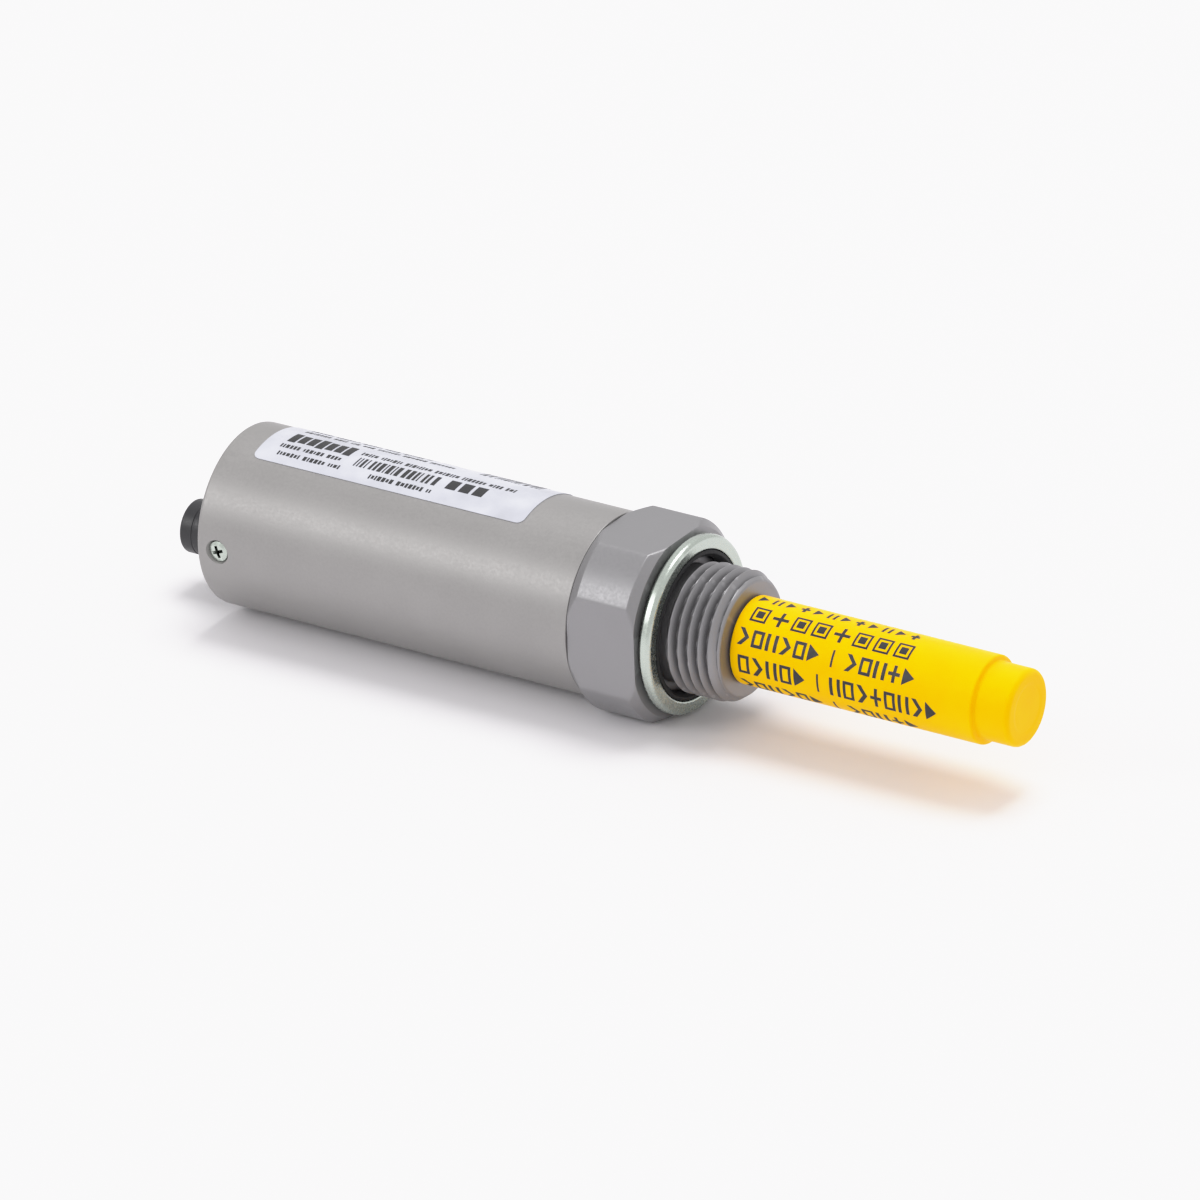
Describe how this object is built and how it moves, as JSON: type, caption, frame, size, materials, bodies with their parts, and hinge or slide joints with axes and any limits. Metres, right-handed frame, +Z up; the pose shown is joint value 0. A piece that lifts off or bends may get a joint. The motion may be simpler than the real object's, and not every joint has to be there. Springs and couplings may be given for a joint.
{
  "type": "screw-in process probe transmitter",
  "caption": "Screw-in industrial sensor: round metal housing with rear plug, wrench-flat collar, bonded seal, pipe thread and a pull-off yellow cap over the filter-tipped probe.",
  "frame": {"origin": "on the surface that the housing lies on, under the middle of the overall length; the instrument's axis is parallel to X, 14.77 mm above the surface", "axes": "+X along the instrument's axis towards the probe tip, +Z up through the housing label, -Y towards the side with the end-cap screw"},
  "size_m": [0.154, 0.0296, 0.0297],
  "materials": {
    "housing": "bead-blasted and clear anodised, satin warm grey",
    "fitting": "turned and lightly blasted stainless steel",
    "zinc_plate": "bright zinc plate with a faint green cast",
    "sintered_metal": "sintered stainless steel, fine grain",
    "yellow_plastic": "slightly translucent soft yellow plastic, semi-gloss",
    "black_plastic": "glass-filled, fine matt texture",
    "plug_plastic": "satin moulded black",
    "white_plastic": "satin off-white",
    "rubber": "black nitrile rubber",
    "label": "white polyester label film, printed black",
    "gold_plate": "gold-plated",
    "board": "green solder mask",
    "chip": "black moulding compound",
    "can": "bright drawn can",
    "ceramic": "unglazed alumina",
    "wire_brown": "extruded insulation",
    "wire_white": "extruded insulation",
    "wire_blue": "extruded insulation",
    "wire_black": "extruded insulation",
    "cable_jacket": "soft dark grey jacket"
  },
  "bodies": {
    "instrument": {"housing_sleeve": "housing", "housing_label": "label", "rear_end_cap": "black_plastic", "end_cap_seal": "rubber", "end_cap_screw": "zinc_plate", "plug_shell": "plug_plastic", "plug_insert": "plug_plastic", "plug_nut": "zinc_plate", "contact_pin_1": "gold_plate", "contact_pin_2": "gold_plate", "contact_pin_3": "gold_plate", "contact_pin_4": "gold_plate", "plug_wire_1": "wire_brown", "plug_wire_2": "wire_white", "plug_wire_3": "wire_blue", "plug_wire_4": "wire_black", "threaded_fitting": "fitting", "fitting_seal": "rubber", "probe_tube": "fitting", "sensor_holder": "white_plastic", "moisture_sensor": "ceramic", "moisture_sensor_lead_a": "gold_plate", "moisture_sensor_lead_b": "gold_plate", "temperature_sensor": "ceramic", "temperature_sensor_lead_a": "gold_plate", "temperature_sensor_lead_b": "gold_plate", "board_carrier": "black_plastic", "main_board": "board", "board_screw_1": "zinc_plate", "board_screw_2": "zinc_plate", "microcontroller": "chip", "converter_chip": "chip", "voltage_regulator": "chip", "board_plug": "white_plastic", "input_capacitor": "can", "output_capacitor": "can", "probe_cable": "cable_jacket"},
    "seal_washer": {"seal_washer_ring": "zinc_plate", "seal_washer_lip": "rubber"},
    "filter": {"sintered_filter": "sintered_metal"},
    "cap": {"protective_cap": "yellow_plastic"}
  },
  "joints": [
    {"name": "washer_slide", "type": "slide", "parent": "instrument", "child": "seal_washer", "axis": [1, 0, 0], "range_m": [0, 0.065]},
    {"name": "filter_removal", "type": "slide", "parent": "instrument", "child": "filter", "axis": [1, 0, 0], "range_m": [0, 0.03]},
    {"name": "cap_pull", "type": "slide", "parent": "filter", "child": "cap", "axis": [1, 0, 0], "range_m": [0, 0.045]}
  ]
}
